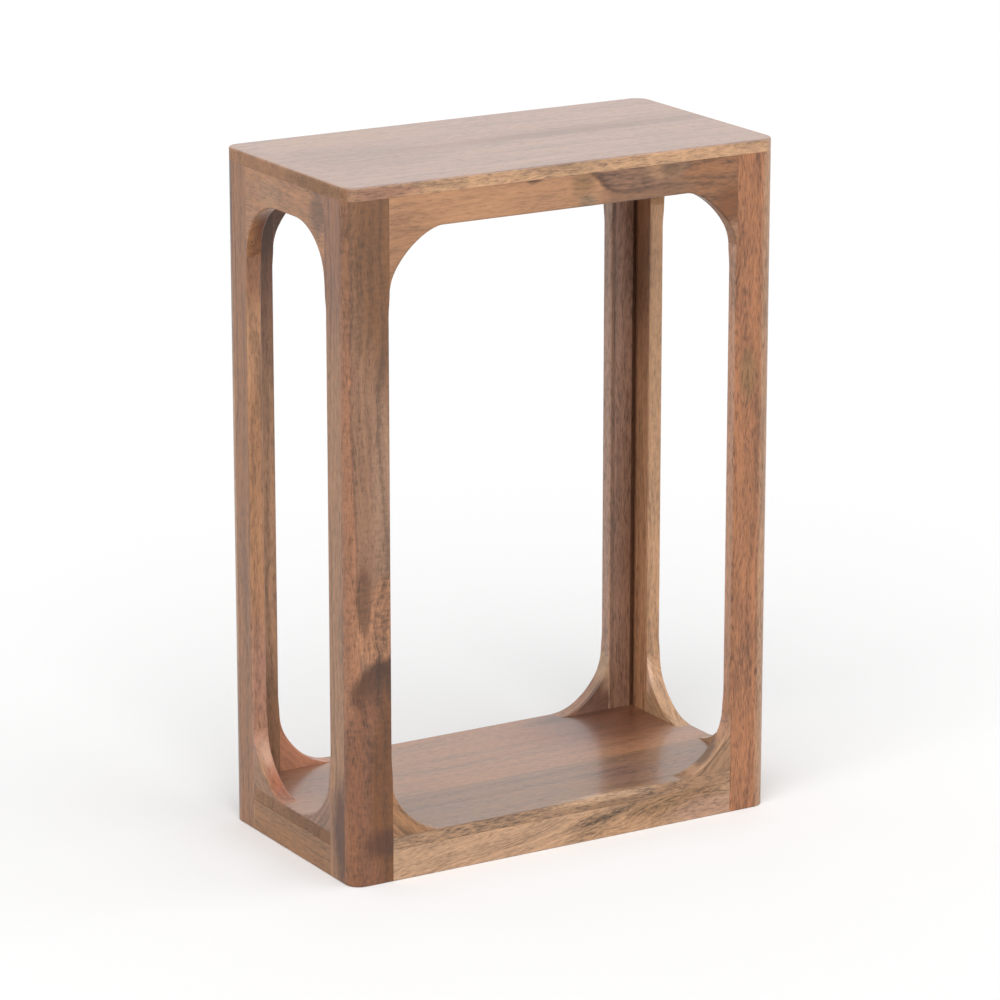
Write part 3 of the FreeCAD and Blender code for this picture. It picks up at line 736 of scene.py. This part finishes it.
for seed, end in enumerate(("front", "back"), start=TOP_SEED):
    hand = 1 if end == "back" else -1
    half_rim = np.split(rim_points, 2)[hand > 0]
    joint = np.array([(-HALF_WIDTH * hand, TOP_JOINT), (HALF_WIDTH * hand, TOP_JOINT)])
    outline = np.concatenate([half_rim, joint])
    ease = np.full(len(outline), TOP_EASE)
    # the glued edge, between the joint's two points
    ease[-2] = HAIRLINE
    node = f"top_{end}_board"
    wood = mango_wood(node, (1, 0, 0), (0, 1, 0), seed=seed, **TOP_LOOK)
    rings = eased_slab(outline, ease, LEG_TOP, TABLE_TOP, low_share=UNDERSIDE_SHARE)
    fit_board(node, rings, wood)

# Pegs
# Turned beech dowels, glued into blind holes between shelf and rails and between top and aprons. They are
# hidden once the table is together. Bare beech is pale and dull, with short flecks along the peg.
# a fleck is about 1.1 mm wide and 11 mm long
FLECKS_PER_METRE = (900, 900, 90)
beech = bpy.data.materials.new("turned_beech")
beech.use_nodes = True
tree = beech.node_tree
tree.nodes.clear()
place = add(tree, "TexCoord", {})["Object"]
fleck = add(tree, "Mapping", {0: place, 3: FLECKS_PER_METRE})[0]
fleck = add(tree, "TexNoise", {"Vector": fleck, "Scale": 1, "Detail": 2})[0]
colour = {0: fleck, 6: linear("#c79f74"), 7: linear("#e0bf95")}
colour = add(tree, "Mix", colour, data_type="RGBA")[2]
bare = add(tree, "BsdfPrincipled", {"Base Color": colour, "Roughness": 0.6})[0]
add(tree, "OutputMaterial", {"Surface": bare})
for node in ("shelf_dowels", "top_dowels"):
    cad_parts[node].data.materials.clear()
    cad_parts[node].data.materials.append(beech)

# Studio
# A wide sheet of white paper under a sky that brightens overhead, with a broad soft light at each side of the
# front. Paper and sky look white, and throw less light on the table than they show.
FLOOR_HALF = 40.0
floor_mesh = bpy.data.meshes.new("floor")
corner = np.array([(-1, -1, 0), (1, -1, 0), (1, 1, 0), (-1, 1, 0)]) * FLOOR_HALF
floor_mesh.from_pydata(corner, [], [(0, 1, 2, 3)])
floor = bpy.data.objects.new("floor", floor_mesh)
bpy.context.scene.collection.objects.link(floor)


def looked_at(tree):
    """1 where a ray shows the surface to the eye, directly or in gloss or glass, and 0 where it only lights:
    the largest of the ray's three marks."""
    path = add(tree, "LightPath", {})
    shown = add(tree, "Math", {0: path["Is Camera Ray"], 1: path["Is Glossy Ray"]}, operation="MAXIMUM")[0]
    return add(tree, "Math", {0: shown, 1: path["Is Transmission Ray"]}, operation="MAXIMUM")[0]


# matt paper has no gloss, so the eye sees only its white and the table's shadow
PAPER_SHOWN, PAPER_LIGHTING = "#fafafa", "#b3b3b3"
paper = bpy.data.materials.new("white_paper_floor")
paper.use_nodes = True
tree = paper.node_tree
tree.nodes.clear()
sheet = {0: looked_at(tree), 6: linear(PAPER_LIGHTING), 7: linear(PAPER_SHOWN)}
sheet = add(tree, "Mix", sheet, data_type="RGBA")[2]
matt = {"Base Color": sheet, "Roughness": 1.0, "Specular IOR Level": 0.0}
add(tree, "OutputMaterial", {"Surface": add(tree, "BsdfPrincipled", matt)[0]})
floor_mesh.materials.append(paper)

SKY_HORIZON = 0.25
SKY_ZENITH = 0.75
SKY_SHOWN = 1.0
world = bpy.data.worlds.new("white_studio")
bpy.context.scene.world = world
world.use_nodes = True
tree = world.node_tree
tree.nodes.clear()
rise = add(tree, "SeparateXYZ", {0: add(tree, "TexCoord", {})["Generated"]})[2]
glow = add(tree, "MapRange", {0: rise, 3: SKY_HORIZON, 4: SKY_ZENITH})[0]
level = add(tree, "MapRange", {0: looked_at(tree), 3: glow, 4: SKY_SHOWN})[0]
sky = add(tree, "Background", {"Color": linear("#ffffff"), "Strength": level})[0]
add(tree, "OutputWorld", {"Surface": sky})


def soft_sun(name, power, spread, azimuth, height):
    """A broad even light from an azimuth, clockwise from the front as seen from above, and a height above the
    floor, spread over an angle, all in degrees."""
    lamp = bpy.data.lights.new(name, "SUN")
    lamp.energy = power
    lamp.angle = math.radians(spread)
    sun = bpy.data.objects.new(name, lamp)
    sun.rotation_euler = (math.radians(90 - height), 0, math.radians(-azimuth))
    bpy.context.scene.collection.objects.link(sun)


soft_sun("front_left_light", power=1.65, spread=60, azimuth=42, height=40)
soft_sun("front_right_light", power=0.79, spread=80, azimuth=-35, height=35)

# a long lens at the photograph's viewing angle: its place in m, its yaw and dip in degrees
LENS = 169.2
CAMERA_PLACE = (-2.166, -3.607, 1.489)
CAMERA_YAW = 30.97
CAMERA_DIP = 15.71
camera = bpy.data.objects.new("camera", bpy.data.cameras.new("camera"))
camera.data.lens = LENS
camera.location = CAMERA_PLACE
camera.rotation_euler = (math.radians(90 - CAMERA_DIP), 0, math.radians(-CAMERA_YAW))
bpy.context.scene.collection.objects.link(camera)
bpy.context.scene.camera = camera
bpy.context.scene.view_settings.view_transform = "Standard"
